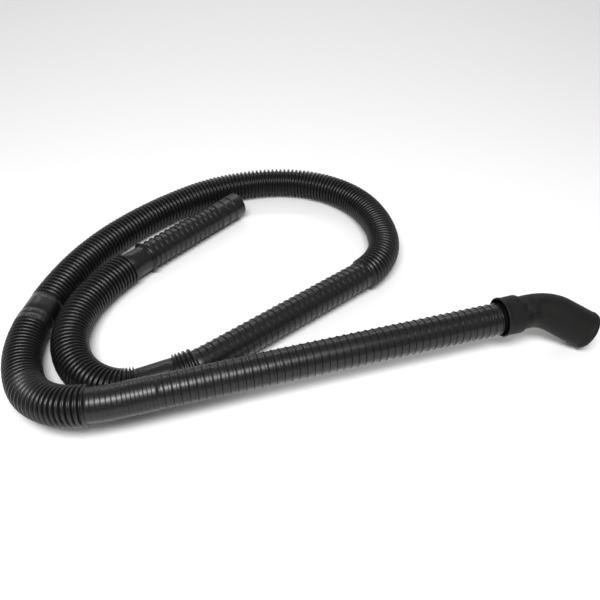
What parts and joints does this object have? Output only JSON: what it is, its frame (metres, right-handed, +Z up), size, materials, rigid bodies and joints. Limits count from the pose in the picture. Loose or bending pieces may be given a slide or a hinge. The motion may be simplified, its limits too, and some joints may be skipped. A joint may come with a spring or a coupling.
{
  "type": "washing machine drain hose",
  "caption": "Corrugated drain hose with stiff ribbed lengths, smooth cuffs and a push-on rubber elbow, lying in a flat open spiral.",
  "frame": {"origin": "bottom centre of the bounding box, on the surface that the hose lies on", "axes": "+X along the straight ribbed length towards the elbow, +Y across the flat spiral, +Z up"},
  "size_m": [0.5316, 0.3868, 0.0544],
  "materials": {
    "hose_plastic": "satin black moulded polypropylene",
    "elbow_rubber": "matt black moulded rubber"
  },
  "bodies": {
    "root": {"hose": "hose_plastic", "elbow": "elbow_rubber"}
  },
  "joints": []
}
